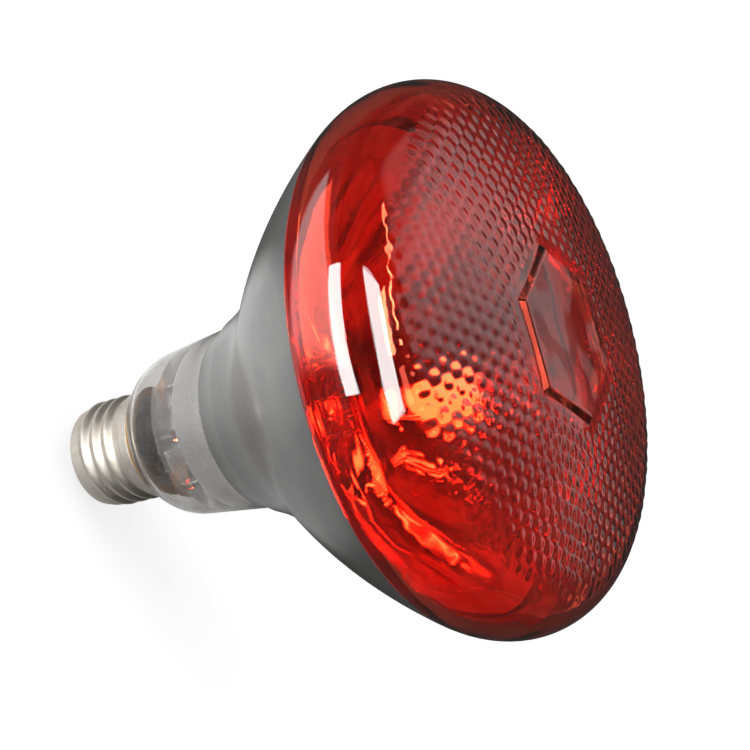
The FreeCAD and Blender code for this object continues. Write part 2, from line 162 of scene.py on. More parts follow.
# %% Shared group: handling marks
marks, marks_in, marks_out = new_group(
    "handling_marks",
    [("Place", "NodeSocketVector", None), ("Size", "NodeSocketFloat", 400.0), ("Seed", "NodeSocketFloat", 0.0)],
    [("Smudge", "NodeSocketFloat"), ("Scratch", "NodeSocketFloat")],
)
smudge = add(marks, "ShaderNodeTexNoise", "smudges", noise_dimensions="4D", Vector=marks_in["Place"],
             Scale=marks_in["Size"], W=marks_in["Seed"], Detail=4.0, Roughness=0.6)
stretched = add(marks, "ShaderNodeMapping", "stretch", Vector=marks_in["Place"], Scale=(1.0, 1.0, 9.0))
hair = add(marks, "ShaderNodeTexNoise", "hair scratches", noise_dimensions="4D", Vector=stretched.outputs["Vector"],
           W=marks_in["Seed"], Scale=sums(marks, "MULTIPLY", marks_in["Size"], 3.0), Detail=3.0, Roughness=0.7)
for mark, texture, low, high in (("Smudge", smudge, 0.42, 0.68), ("Scratch", hair, 0.60, 0.72)):
    contrast = add(marks, "ShaderNodeMapRange", "contrast", Value=texture.outputs["Fac"], From_Min=low, From_Max=high)
    marks.links.new(contrast.outputs["Result"], marks_out[mark])
print("group:", marks.name)


# %% [markdown]
# Each finish is dressed the same way. Two colours and two roughness values are mixed by a mark, and a shallow relief
# tilts the reflections. Bump depths are real: five hundredths of a millimetre is much on metal.

# %% Helpers that dress a finish
def vary_colour(tree, shader, factor, plain, marked):
    """Mixes two colours: plain where the factor is 0, marked where it is 1."""
    mix = add(tree, "ShaderNodeMix", "colour", data_type="RGBA")
    tree.links.new(factor, mix.inputs["Factor"])
    for socket in mix.inputs:
        if socket.type == "RGBA":
            socket.default_value = (*(plain if socket.name == "A" else marked), 1.0)
    result = [socket for socket in mix.outputs if socket.type == "RGBA"][0]
    tree.links.new(result, shader.inputs["Base Color"])


def vary_gloss(tree, shader, factor, low, high):
    gloss = add(tree, "ShaderNodeMapRange", "roughness", Value=factor, To_Min=low, To_Max=high)
    tree.links.new(gloss.outputs["Result"], shader.inputs["Roughness"])


def bump(tree, shader, height, depth, strength):
    relief = add(tree, "ShaderNodeBump", "relief", Height=height, Strength=strength, Distance=depth)
    tree.links.new(relief.outputs["Normal"], shader.inputs["Normal"])


# %% [markdown]
# Ruby glass lets nearly all red through, about a tenth of the green and less of the blue. So a dark room looks deep
# red in it, and a very bright lamp seen through it turns orange and then yellow. A thin clear lacquer on top gives
# the sharp white reflections. Slow waves in the pressed glass make these reflections run unevenly.

# %% Finish: ruby glass
ruby, tree, shader, place = new_finish(
    "ruby_glass_finish", Metallic=0.0, Transmission_Weight=1.0, IOR=1.5, Coat_Weight=1.0, Coat_Roughness=0.01)
slow = use_group(tree, waves, Place=place, Size=90.0, Seed=1.0)
worn = use_group(tree, marks, Place=place, Size=220.0, Seed=2.0)
vary_colour(tree, shader, slow.outputs["Height"], (0.90, 0.076, 0.034), (0.93, 0.090, 0.042))
vary_gloss(tree, shader, worn.outputs["Smudge"], 0.010, 0.035)
bump(tree, shader, slow.outputs["Height"], 0.0006, 0.5)
print("finish:", ruby.name)

# %% [markdown]
# The bowl is clear glass with aluminium evaporated on its inside. From outside one sees the back of that layer
# through the glass: a grey metal with soft reflections under a sharp glassy one. The shader is less than half
# metallic, so that the bowl keeps an even grey where the room is dark.

# %% Finish: silvered glass, seen from outside
silvered, tree, shader, place = new_finish(
    "silvered_glass_finish", Metallic=0.45, Coat_Weight=0.4, Coat_Roughness=0.08, Coat_IOR=1.5)
slow = use_group(tree, waves, Place=place, Size=40.0, Seed=3.0)
worn = use_group(tree, marks, Place=place, Size=90.0, Seed=4.0)
vary_colour(tree, shader, worn.outputs["Smudge"], (0.290, 0.290, 0.287), (0.262, 0.262, 0.262))
vary_gloss(tree, shader, worn.outputs["Smudge"], 0.28, 0.36)
bump(tree, shader, slow.outputs["Height"], 0.0006, 0.2)
print("finish:", silvered.name)

# %% [markdown]
# From inside, the aluminium is the mirror itself, bright and nearly clean. It thins out towards the seam, where the
# flame that joins the two glasses has dulled it. The dull band is only on the side with negative Y: the far side
# shows through the window, and a dull mirror there would fill the window with a red glow.

# %% Finish: mirror, the inside of the bowl
mirror, tree, shader, place = new_finish("mirror_finish", Metallic=1.0)
slow = use_group(tree, waves, Place=place, Size=70.0, Seed=5.0)
worn = use_group(tree, marks, Place=place, Size=300.0, Seed=6.0)
vary_colour(tree, shader, worn.outputs["Smudge"], (0.88, 0.88, 0.88), (0.80, 0.80, 0.80))
where = add(tree, "ShaderNodeSeparateXYZ", Vector=place).outputs
seam_dulling = sums(tree, "MULTIPLY", fade(tree, where["Z"], 0.090, 0.103, 0.0, 1.0),
                    fade(tree, where["Y"], 0.0, 0.03, 1.0, 0.0))
vary_gloss(tree, shader, sums(tree, "MULTIPLY_ADD", worn.outputs["Smudge"], 0.1, seam_dulling), 0.03, 0.40)
bump(tree, shader, slow.outputs["Height"], 0.0006, 0.12)
print("finish:", mirror.name)

# %% [markdown]
# The neck has no metal. Its foot is clear, and next to the bowl a faint grey haze of aluminium lies in it. The sealed
# tube under the floor is smoked brown by its flame. Full glass (index 1.5) would bend the view into the neck until
# the copper thimbles vanish, so its body bends light little and a clear coat gives it its shine. Light that reaches
# something through glass is slow to trace, so nearly all of a shadow ray passes and the thimbles are lit.

# %% Finishes: clear, smoked and hazed glass
NECK_IOR, SHADOW_BLOCKED = 1.16, 0.05


def glass_finish(name, clarity, clean, dull, seed):
    finish, tree, shader, place = new_finish(name, Metallic=0.0, Transmission_Weight=clarity, IOR=NECK_IOR,
                                             Coat_Weight=0.6, Coat_Roughness=0.04)
    slow = use_group(tree, waves, Place=place, Size=110.0, Seed=seed)
    worn = use_group(tree, marks, Place=place, Size=240.0, Seed=seed)
    vary_colour(tree, shader, worn.outputs["Smudge"], clean, dull)
    vary_gloss(tree, shader, worn.outputs["Smudge"], 0.02, 0.10)
    bump(tree, shader, slow.outputs["Height"], 0.0008, 0.3)
    path = tree.nodes.new("ShaderNodeLightPath").outputs
    blocked = sums(tree, "MULTIPLY_ADD", path["Is Shadow Ray"], SHADOW_BLOCKED - 1.0, 1.0)
    tree.links.new(blocked, shader.inputs["Alpha"])
    print("finish:", name)
    return finish


clear = glass_finish("clear_glass_finish", 0.96, (0.86, 0.84, 0.82), (0.74, 0.72, 0.70), 7.0)
smoked = glass_finish("smoked_glass_finish", 0.40, (0.32, 0.24, 0.18), (0.20, 0.15, 0.12), 9.0)
hazed = glass_finish("hazed_glass_finish", 0.70, (0.72, 0.71, 0.70), (0.68, 0.67, 0.66), 8.0)


# %% [markdown]
# The metals differ in colour, gloss and in how worn they are. One function makes them all, with the two shared
# groups: a light and a dark colour that the smudges mix, two roughness values, and a shallow relief. The copper of
# the thimbles is oxidised by the sealing flame, so most of it is matt.

# %% Finishes: metals
def metal_finish(name, clean, worn_colour, gloss, size, seed, relief=0.00005, metallic=1.0):
    finish, tree, shader, place = new_finish(name, Metallic=metallic)
    worn = use_group(tree, marks, Place=place, Size=size, Seed=seed)
    slow = use_group(tree, waves, Place=place, Size=size, Seed=seed)
    vary_colour(tree, shader, worn.outputs["Smudge"], clean, worn_colour)
    rough = sums(tree, "MULTIPLY_ADD", worn.outputs["Scratch"], 0.5, worn.outputs["Smudge"])
    vary_gloss(tree, shader, rough, *gloss)
    bump(tree, shader, sums(tree, "ADD", worn.outputs["Scratch"], slow.outputs["Height"]), relief, 0.6)
    print("finish:", name)
    return finish


copper = metal_finish("copper_plate_finish", (0.95, 0.42, 0.16), (0.72, 0.28, 0.09), (0.30, 0.45), 300.0, 11.0,
                      metallic=0.2)
nickel_wire = metal_finish("nickel_wire_finish", (0.62, 0.59, 0.54), (0.42, 0.38, 0.33), (0.20, 0.40), 500.0, 12.0)
tungsten = metal_finish("tungsten_finish", (0.36, 0.36, 0.38), (0.20, 0.20, 0.22), (0.30, 0.50), 900.0, 13.0)
cap_nickel = metal_finish("cap_nickel_finish", (0.64, 0.60, 0.54), (0.52, 0.47, 0.41), (0.46, 0.58), 240.0, 14.0)
brass = metal_finish("contact_brass_finish", (0.72, 0.58, 0.34), (0.48, 0.36, 0.20), (0.22, 0.42), 500.0, 15.0)
solder = metal_finish("solder_finish", (0.62, 0.62, 0.62), (0.38, 0.38, 0.39), (0.26, 0.50), 700.0, 16.0, 0.0001)

# %% [markdown]
# The cap's foot is moulded black glass, and the lamp is glued into the cap with a resin cement that baking turns
# amber. Both are dense and glossy, and neither is metal.

# %% Finishes: black glass and cement
black_glass, tree, shader, place = new_finish("black_glass_finish", Metallic=0.0, Coat_Weight=0.6, Coat_Roughness=0.06)
worn = use_group(tree, marks, Place=place, Size=420.0, Seed=21.0)
vary_colour(tree, shader, worn.outputs["Smudge"], (0.012, 0.011, 0.012), (0.035, 0.031, 0.030))
vary_gloss(tree, shader, worn.outputs["Smudge"], 0.12, 0.36)
bump(tree, shader, worn.outputs["Smudge"], 0.00005, 0.5)

cement, tree, shader, place = new_finish("cement_finish", Metallic=0.0, Coat_Weight=0.5, Coat_Roughness=0.10)
grains = use_group(tree, marks, Place=place, Size=700.0, Seed=22.0)
slow = use_group(tree, waves, Place=place, Size=200.0, Seed=23.0)
vary_colour(tree, shader, slow.outputs["Height"], (0.62, 0.27, 0.04), (0.85, 0.46, 0.10))
vary_gloss(tree, shader, grains.outputs["Smudge"], 0.25, 0.55)
bump(tree, shader, grains.outputs["Smudge"], 0.00012, 0.7)
print("finishes:", black_glass.name, cement.name)


# %% [markdown]
# Every large piece of the lamp is turned round one axis, so each starts as a half section: radius and height of its
# corners, in millimetres. bent() fills in the points of an arc between two corners, and straight() those of a line.

# %% Helpers for half sections
def bent(start, end, radius, side, steps):
    """Points of an arc after start, up to end. Side 1 puts the centre on the left of the way, -1 on the right."""
    sx, sy = start
    ex, ey = end
    half = math.hypot(ex - sx, ey - sy) / 2
    away = math.sqrt(max(radius ** 2 - half ** 2, 0.0)) * side
    cx = (sx + ex) / 2 - (ey - sy) / (2 * half) * away
    cy = (sy + ey) / 2 + (ex - sx) / (2 * half) * away
    first = math.atan2(sy - cy, sx - cx)
    sweep = (math.atan2(ey - cy, ex - cx) - first + math.pi) % math.tau - math.pi
    turns = [first + sweep * step / steps for step in range(1, steps + 1)]
    return [(cx + radius * math.cos(turn), cy + radius * math.sin(turn)) for turn in turns]


def straight(start, end, steps):
    return [(start[0] + (end[0] - start[0]) * step / steps, start[1] + (end[1] - start[1]) * step / steps)
            for step in range(1, steps + 1)]


def section_points(corners, bends):
    """bends: side number -> (radius, side, steps), or a bare number of steps for a straight run."""
    points = [corners[0]]
    for number in range(len(corners) - 1):
        rule = bends.get(number, 1)
        ways = (corners[number], corners[number + 1])
        points += bent(*ways, *rule) if isinstance(rule, tuple) else straight(*ways, rule)
    return points


# %% [markdown]
# lathe() turns a section round the axis, as the mould turned the glass. Points on the axis stay single, so that the
# poles are closed, and edges sharper than an angle stay crisp. settle() says which CAD node a piece stands for.

# %% Helpers for pieces
SHARP_ANGLE = math.radians(35)


def new_piece(name, mesh, finishes):
    data = bpy.data.meshes.new(name)
    mesh.to_mesh(data)
    mesh.free()
    for finish in finishes:
        data.materials.append(finish)
    piece = bpy.data.objects.new(name, data)
    bpy.context.scene.collection.objects.link(piece)
    return piece


def lathe(name, rows, count, finishes, row_finish=None):
    """Turns a closed section in count steps. row_finish gives the finish of each run between two rows."""
    mesh = bmesh.new()
    rings = []
    for radius, height in rows:
        if radius < 1e-6:
            rings.append([mesh.verts.new((0, 0, height * MM))])
        else:
            turns = [math.tau * step / count for step in range(count)]
            rings.append([mesh.verts.new((radius * MM * math.cos(turn), radius * MM * math.sin(turn), height * MM))
                          for turn in turns])
    for number, (first, second) in enumerate(zip(rings, rings[1:] + rings[:1])):
        if len(first) == 1 and len(second) == 1:
            continue
        for step in range(count):
            after = (step + 1) % count
            corners = [first[step % len(first)], first[after % len(first)],
                       second[after % len(second)], second[step % len(second)]]
            face = mesh.faces.new(list(dict.fromkeys(corners)))
            face.smooth = True
            face.material_index = row_finish[number] if row_finish else 0
    bmesh.ops.recalc_face_normals(mesh, faces=mesh.faces)
    piece = new_piece(name, mesh, finishes)
    piece.data.set_sharp_from_angle(angle=SHARP_ANGLE)
    return piece


def settle(piece, node):
    """Ties a finished piece to the lamp, in the place of its CAD node."""
    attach(piece, "root")
    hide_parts(node)
    print(f"{piece.name} stands for {node}: {len(piece.data.polygons)} faces")


# %% [markdown]
# Geometry Nodes trees are built in code too. make_tree() starts one with named inputs, and bake_tree() puts it on a
# piece, sets the inputs by their identifiers, keeps the evaluated mesh and takes the modifier away again.

# %% Helpers for Geometry Nodes
def make_tree(name, entries):
    geometry = ("Geometry", "NodeSocketGeometry")
    return new_group(name, [(*geometry, None), *entries], [geometry], "GeometryNodeTree")


def end_tree(tree, geometry, finish_socket, out):
    real = add(tree, "GeometryNodeRealizeInstances", Geometry=geometry)
    dressed_up = add(tree, "GeometryNodeSetMaterial", Geometry=real.outputs["Geometry"], Material=finish_socket)
    tree.links.new(dressed_up.outputs["Geometry"], out["Geometry"])


def bake_tree(piece, tree, **inputs):
    modifier = piece.modifiers.new(tree.name, "NODES")
    modifier.node_group = tree
    names = {item.name: item.identifier for item in tree.interface.items_tree if item.item_type == "SOCKET"}
    for key, value in inputs.items():
        modifier[names[key.replace("_", " ")]] = value
    shown = piece.evaluated_get(bpy.context.evaluated_depsgraph_get())
    result = bpy.data.meshes.new_from_object(shown)
    result.name = piece.name
    piece.modifiers.remove(modifier)
    piece.data = result
    print(f"{piece.name}: {len(result.polygons)} faces after {tree.name}")


# %% [markdown]
# The ruby lens is one pressed piece: a shallow dome, a rolled edge and a short lip down to the seam. A six-sided
# clear window stands proud of its centre, and the rest of the dome is covered with small pebbles that spread the
# heat. The pebbles need an even, dense mesh, so the dome is made of hexagonal rings: ring k has 6 k points. They
# follow the window's straight sides in the middle and turn into circles outwards. The two glasses of the lamp stand
# a hair apart at the seam, because two surfaces in one place can't be traced.

# %% Lens: the half section
RIM_RADIUS, RIM_HEIGHT, EDGE_ROLL, DOME_RISE = 61.0, 114.5, 16.0, 21.1
LIP_ROLL, SEAM_HEIGHT, LENS_WALL = 18.5, 105.5, 3.2
WINDOW_TOP, WINDOW_RADIUS, WINDOW_TURN, WINDOW_DRAFT, WINDOW_ROUND = 136.0, 18.3, 9.0, 45.0, 0.36
HEXAGON_UP_TO, CIRCLE_FROM, TURN_STEPS = 21.0, 40.0, 240
PEBBLE_START, PEBBLE_FULL, PEBBLE_EDGE, SEAM_GAP = 21.6, 23.0, 54.6, 0.04
ROLL_CENTRE = RIM_RADIUS - EDGE_ROLL
APEX = RIM_HEIGHT + DOME_RISE
DOME_RADIUS = (ROLL_CENTRE ** 2 + DOME_RISE ** 2 - EDGE_ROLL ** 2) / (2 * (DOME_RISE - EDGE_ROLL))
DOME_CENTRE = APEX - DOME_RADIUS
DOME_EDGE = DOME_RADIUS * math.sin(math.atan2(ROLL_CENTRE, RIM_HEIGHT - DOME_CENTRE))


def seam_radius(depth):
    reach = (LIP_ROLL - depth) ** 2 - (RIM_HEIGHT - SEAM_HEIGHT) ** 2
    return RIM_RADIUS - LIP_ROLL + math.sqrt(reach)


def dome_height(radius):
    if radius <= DOME_EDGE:
        return DOME_CENTRE + math.sqrt(DOME_RADIUS ** 2 - radius ** 2)
    return RIM_HEIGHT + math.sqrt(max(EDGE_ROLL ** 2 - (radius - ROLL_CENTRE) ** 2, 0.0))


print(f"the dome meets the rolled edge at radius {DOME_EDGE:.1f} mm, height {dome_height(DOME_EDGE):.1f} mm")


# %% Lens: rings of points
def six_sided(count, radius, roundness):
    """A ring of points between a hexagon (roundness 0) and a circle (1)."""
    points = []
    for step in range(count):
        share = step * 6 / count
        side = int(share)
        along = share - side
        corners = [math.radians(WINDOW_TURN + 60 * (side + extra)) for extra in (0, 1)]
        flat_x, flat_y = [sum(w * f(c) for w, c in zip((1 - along, along), corners)) for f in (math.cos, math.sin)]
        turn = math.radians(WINDOW_TURN + 60 * share)
        points.append((radius * (flat_x + (math.cos(turn) - flat_x) * roundness),
                       radius * (flat_y + (math.sin(turn) - flat_y) * roundness)))
    return points


def smooth_step(low, high, value):
    share = min(max((value - low) / (high - low), 0.0), 1.0)
    return share * share * (3 - 2 * share)


def front_rings(spacing=0.46, top_rings=40):
    """Rings from the window's middle outwards: a list of (points, pebble share).

    edge and slope hold how far each ring of the window's rim is widened, and how far it drops below the window."""
    rings = []
    widening = math.tan(math.radians(WINDOW_DRAFT)) * 2 / math.sqrt(3)
    for number in range(1, top_rings + 1):
        ring = six_sided(6 * number, (WINDOW_RADIUS - WINDOW_ROUND) * number / top_rings, 0.0)
        rings.append(([(x, y, WINDOW_TOP) for x, y in ring], 0.0))
    count = 6 * top_rings
    edge = [(-0.18, 0.02), (0.0, 0.08), (0.18, 0.19), (WINDOW_ROUND, 0.34)]
    slope = [(WINDOW_ROUND + (drop - edge[-1][1]) * widening, drop)
             for drop in (0.5, 0.66, 0.82, 0.98, 1.12, 1.24, 1.34)]
    for widen, drop in edge + slope:
        ring = six_sided(count, WINDOW_RADIUS + widen, 0.0)
        rings.append(([(x, y, max(WINDOW_TOP - drop, dome_height(math.hypot(x, y)))) for x, y in ring], 0.0))
    radius = WINDOW_RADIUS + slope[-1][0]
    number = top_rings
    while radius < DOME_EDGE:
        radius = min(radius + spacing, DOME_EDGE + 1e-9)
        number += 1
        ring = six_sided(6 * number, radius, smooth_step(HEXAGON_UP_TO, CIRCLE_FROM, radius))
        points = [(x, y, dome_height(math.hypot(x, y))) for x, y in ring]
        rings.append((points, smooth_step(PEBBLE_START, PEBBLE_FULL, radius)))
    return rings


rings = front_rings()
print(f"{len(rings)} rings, the last with {len(rings[-1][0])} points")


# %% Lens: the rolled edge, the lip and the inner wall
low_end = SEAM_HEIGHT + SEAM_GAP
rim, seam = (RIM_RADIUS, RIM_HEIGHT), (seam_radius(0.0), low_end)
rim_inside, seam_inside = (RIM_RADIUS - LENS_WALL, RIM_HEIGHT), (seam_radius(LENS_WALL), low_end)
dome_edge = (DOME_EDGE, dome_height(DOME_EDGE))
inner_share = (DOME_RADIUS - LENS_WALL) / DOME_RADIUS
dome_inside = (DOME_EDGE * inner_share, DOME_CENTRE + (dome_edge[1] - DOME_CENTRE) * inner_share)
roll = bent(dome_edge, rim, EDGE_ROLL, -1, 36)
lip = bent(rim, seam, LIP_ROLL, -1, 8)
inner_wall = [seam_inside] + bent(seam_inside, rim_inside, LIP_ROLL - LENS_WALL, 1, 6)
inner_wall += bent(rim_inside, dome_inside, EDGE_ROLL - LENS_WALL, 1, 12)
inner_wall += bent(dome_inside, (0.0, APEX - LENS_WALL), DOME_RADIUS - LENS_WALL, 1, 24)[:-1]
print(f"{len(roll)} rings on the edge, {len(lip)} on the lip, {len(inner_wall)} inside")


# %% Lens: stitch the rings and close the glass
def stitch(mesh, inner, outer):
    """Fills the band between two rings whose numbers of points may differ."""
    first, second = 0, 0
    while first < len(inner) or second < len(outer):
        move_outer = (second + 1) / len(outer) <= (first + 1) / len(inner) + 1e-9
        a, b = inner[first % len(inner)], outer[second % len(outer)]
        if move_outer and second < len(outer):
            mesh.faces.new((a, b, outer[(second + 1) % len(outer)]))
            second += 1
        else:
            mesh.faces.new((a, b, inner[(first + 1) % len(inner)]))
            first += 1


def round_ring(count, radius, height):
    turns = [math.radians(WINDOW_TURN) + math.tau * step / count for step in range(count)]
    return [(radius * math.cos(turn), radius * math.sin(turn), height) for turn in turns]


def lens_glass():
    mesh = bmesh.new()
    layer = mesh.verts.layers.float.new("pebble")
    full = len(rings[-1][0])
    all_rings = list(rings)
    for r, z in roll:
        all_rings.append((round_ring(full, r, z), 1 - smooth_step(PEBBLE_EDGE - 1.0, PEBBLE_EDGE + 1.0, r)))
    all_rings += [(round_ring(full, r, z), 0.0) for r, z in lip]
    all_rings += [(round_ring(TURN_STEPS, r, z), 0.0) for r, z in inner_wall]
    made = []
    for points, pebble_share in all_rings:
        verts = [mesh.verts.new((x * MM, y * MM, z * MM)) for x, y, z in points]
        for vert in verts:
            vert[layer] = pebble_share
        made.append(verts)
    for inner, outer in zip(made, made[1:]):
        stitch(mesh, inner, outer)
    for ring, height in ((made[0], WINDOW_TOP), (made[-1], APEX - LENS_WALL)):
        pole = mesh.verts.new((0, 0, height * MM))
        for step, vert in enumerate(ring):
            mesh.faces.new((pole, vert, ring[(step + 1) % len(ring)]))
    bmesh.ops.recalc_face_normals(mesh, faces=mesh.faces)
    for face in mesh.faces:
        face.smooth = True
    return new_piece("lens_glass", mesh, [ruby])


lens = lens_glass()
print(f"plain lens: {len(lens.data.polygons)} faces, top at {max(v.co.z for v in lens.data.vertices) / MM:.2f} mm")

# %% [markdown]
# The pebbles lie in a honeycomb, so a rule can place them: fold the plane into one cell of a rectangular grid,
# once as it is and once shifted by half a cell, and take the nearer centre. A Geometry Nodes tree moves each point
# along its normal by a smooth bump of that distance. The attribute "pebble" keeps the window and the rim smooth.

# %% Lens: where the pebbles lie
def folded_distance(tree, place, pitch, shifted):
    """Distance from the nearest centre of one rectangular half of the honeycomb."""
    tall = sums(tree, "MULTIPLY", pitch, math.sqrt(3))
    cell = add(tree, "ShaderNodeCombineXYZ", X=pitch, Y=tall, Z=1.0).outputs[0]
    half = vectors(tree, "SCALE", cell, Scale=0.5)
    back = vectors(tree, "SCALE", cell, Scale=-0.5)
    start = vectors(tree, "ADD", place, half) if shifted else place
    folded = add(tree, "ShaderNodeSeparateXYZ", Vector=vectors(tree, "WRAP", start, half, back)).outputs
    flat = add(tree, "ShaderNodeCombineXYZ", X=folded["X"], Y=folded["Y"]).outputs[0]
    return vectors(tree, "LENGTH", flat)


pebbles, entry, out = make_tree("pebbles", [
    ("Pitch", "NodeSocketFloat", 0.0036), ("Height", "NodeSocketFloat", 0.0003),
    ("Width", "NodeSocketFloat", 0.58), ("Turn", "NodeSocketFloat", 0.1), ("Finish", "NodeSocketMaterial", None)])
position = add(pebbles, "GeometryNodeInputPosition").outputs[0]
turned = add(pebbles, "ShaderNodeVectorRotate", rotation_type="Z_AXIS", Vector=position,
             Angle=sums(pebbles, "MULTIPLY", entry["Turn"], -1.0))
near = [folded_distance(pebbles, turned.outputs[0], entry["Pitch"], shifted) for shifted in (False, True)]
nearest = sums(pebbles, "MINIMUM", *near)
reach = sums(pebbles, "MULTIPLY", entry["Pitch"], entry["Width"])
share = sums(pebbles, "MINIMUM", sums(pebbles, "DIVIDE", nearest, reach), 1.0)
print("tree:", pebbles.name, "with", len(pebbles.nodes), "nodes so far")

# %% Lens: raise the pebbles
bulge = sums(pebbles, "MULTIPLY", sums(pebbles, "COSINE", sums(pebbles, "MULTIPLY", share, math.pi)), 0.5)
mask = add(pebbles, "GeometryNodeInputNamedAttribute", data_type="FLOAT", Name="pebble").outputs["Attribute"]
height = sums(pebbles, "MULTIPLY", sums(pebbles, "MULTIPLY", bulge, entry["Height"]), mask)
along = vectors(pebbles, "SCALE", add(pebbles, "GeometryNodeInputNormal").outputs[0], Scale=height)
moved = add(pebbles, "GeometryNodeSetPosition", Geometry=entry["Geometry"], Offset=along)
end_tree(pebbles, moved.outputs["Geometry"], entry["Finish"], out)
bake_tree(lens, pebbles, Pitch=3.6 * MM, Height=0.21 * MM, Width=0.56, Turn=math.radians(WINDOW_TURN), Finish=ruby)
PEBBLED_SHARP_ANGLE = math.radians(50)
lens.data.set_sharp_from_angle(angle=PEBBLED_SHARP_ANGLE)
settle(lens, "front_lens")

# %% [markdown]
# The reflector is one pressed glass too: the bowl, a bead and a step at its throat, the neck, the round shoulder and
# the stub that the cap is cemented on. A thick glass floor closes it, with holes for the two lead posts and the
# exhaust tube. The section is turned round, and each run of it gets the finish that it has on the real lamp.

# %% Reflector: the half section
SILVERED, MIRROR, CLEAR, HAZED = range(4)
SILVER_FROM, HAZE_FROM = 54.3, 40.0
SEAM, SEAM_INSIDE = seam_radius(0.0), seam_radius(LENS_WALL)
ACROSS = SEAM - SEAM_INSIDE
outside = section_points(
    [(SEAM, SEAM_HEIGHT - SEAM_GAP), (34.3, 74.5), (23.85, 58.8), (22.55, 57.4), (21.7, 54.2), (19.8, 36.0),
     (13.5, 26.2), (10.6, 26.2), (10.6, 17.2), (8.2, 17.2), (8.2, 28.2), (11.4, 28.2), (16.9, 33.7), (16.9, 38.5),
     (0.0, 38.5)],
    {0: (125.0, -1, 26), 1: (40.0, 1, 12), 4: 6, 5: (12.8, -1, 10), 6: 2, 7: 3, 9: 3, 11: (5.5, 1, 6), 12: 3, 13: 6})
inside = section_points(
    [(0.0, 43.5), (16.9, 43.5), (23.85 - ACROSS, 58.8), (34.3 - ACROSS, 74.5), (SEAM_INSIDE, SEAM_HEIGHT - SEAM_GAP)],
    {0: 6, 1: 6, 2: (40.0, -1, 12), 3: (125.0, 1, 26)})
print(f"section: {len(outside)} points outside, {len(inside)} inside")


# %% Reflector: turn it and drill the floor
def row_finishes():
    """Outside: silvered, hazed or clear by height. The row between the two runs is clear, and inside is mirror."""
    kinds = []
    for _, height in outside[:-1]:
        kinds.append(SILVERED if height > SILVER_FROM else HAZED if height > HAZE_FROM else CLEAR)
    return kinds + [CLEAR] + [MIRROR] * len(inside)


bowl = lathe("bowl_glass", outside + inside, TURN_STEPS, [silvered, mirror, clear, hazed], row_finishes())


def drill(piece, places, bore, low, high):
    mesh = bmesh.new()
    for x, y in places:
        made = bmesh.ops.create_cone(mesh, cap_ends=True, segments=32, radius1=bore, radius2=bore, depth=high - low)
        bmesh.ops.translate(mesh, verts=made["verts"], vec=(x, y, (low + high) / 2))
    cutter = new_piece("drill", mesh, [clear])
    cut = piece.modifiers.new("holes", "BOOLEAN")
    cut.operation = "DIFFERENCE"
    cut.solver = "EXACT"
    cut.object = cutter
    result = bpy.data.meshes.new_from_object(piece.evaluated_get(bpy.context.evaluated_depsgraph_get()))
    piece.modifiers.remove(cut)
    piece.data = result
    bpy.data.objects.remove(cutter)


HOLE_RADIUS, HOLE_LOW, HOLE_HIGH = 1.3 * MM, 38.0 * MM, 44.0 * MM
post_x = (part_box("ferrule_right")[0][0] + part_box("ferrule_right")[1][0]) / 2
drill(bowl, [(-post_x, 0), (post_x, 0), (0, 0)], HOLE_RADIUS, HOLE_LOW, HOLE_HIGH)
settle(bowl, "reflector_shell")

# %% [markdown]
# The screw shell is thin brass, rolled between dies so that inside and outside carry the same round thread, then
# nickel plated. Its section is a plain wall with a cone at the foot and a collar at the glass. A Geometry Nodes
# tree pushes every point out by a wave that climbs one pitch per turn, and the wave fades in and out at the ends.

# %% Screw shell: the plain wall
CREST, ROOT, PITCH, TURNS, WALL = 13.1, 12.05, 3.629, 3.4, 0.35
THREAD_START = 6.6 + PITCH / 2
shell_out = section_points(
    [(10.6, 5.4), (ROOT, 6.6), (ROOT, 21.55), (13.3, 22.8), (13.3, 25.0), (13.15, 25.2)],
    {0: 3, 1: 66, 2: 6, 3: 4, 4: 2})
shell_in = section_points(
    [(13.05, 25.2), (12.95, 25.0), (12.95, 22.8), (ROOT - WALL, 21.55), (ROOT - WALL, 6.6), (10.6 - WALL, 5.4)],
    {0: 1, 1: 4, 2: 6, 3: 66, 4: 3})
shell = lathe("screw_cap_shell", shell_out + shell_in, 180, [cap_nickel])

# %% Screw shell: the rolled thread
thread, entry, out = make_tree("rolled_thread", [
    ("Start", "NodeSocketFloat", 0.008), ("Pitch", "NodeSocketFloat", 0.0036), ("Turns", "NodeSocketFloat", 3.4),
    ("Depth", "NodeSocketFloat", 0.001), ("Run Out", "NodeSocketFloat", 0.3), ("Finish", "NodeSocketMaterial", None)])
position = add(thread, "GeometryNodeInputPosition").outputs[0]
parts = add(thread, "ShaderNodeSeparateXYZ", Vector=position).outputs
turn = sums(thread, "DIVIDE", sums(thread, "ARCTAN2", parts["Y"], parts["X"]), math.tau)
climb = sums(thread, "DIVIDE", sums(thread, "SUBTRACT", parts["Z"], entry["Start"]), entry["Pitch"])
lap = sums(thread, "ROUND", sums(thread, "SUBTRACT", climb, turn))
along = sums(thread, "ADD", lap, turn)
phase = sums(thread, "MULTIPLY", sums(thread, "SUBTRACT", climb, along), math.tau)
ridge = sums(thread, "MULTIPLY_ADD", sums(thread, "COSINE", phase), 0.5, 0.5)
half_run = sums(thread, "MULTIPLY", entry["Run Out"], 0.5)
run_in = fade(thread, along, sums(thread, "MULTIPLY", half_run, -1.0), half_run, 0.0, 1.0)
run_out = fade(thread, along, sums(thread, "ADD", entry["Turns"], half_run),
               sums(thread, "SUBTRACT", entry["Turns"], half_run), 0.0, 1.0)
push = sums(thread, "MULTIPLY", sums(thread, "MULTIPLY", ridge, entry["Depth"]),
            sums(thread, "MULTIPLY", run_in, run_out))
flat = add(thread, "ShaderNodeCombineXYZ", X=parts["X"], Y=parts["Y"]).outputs[0]
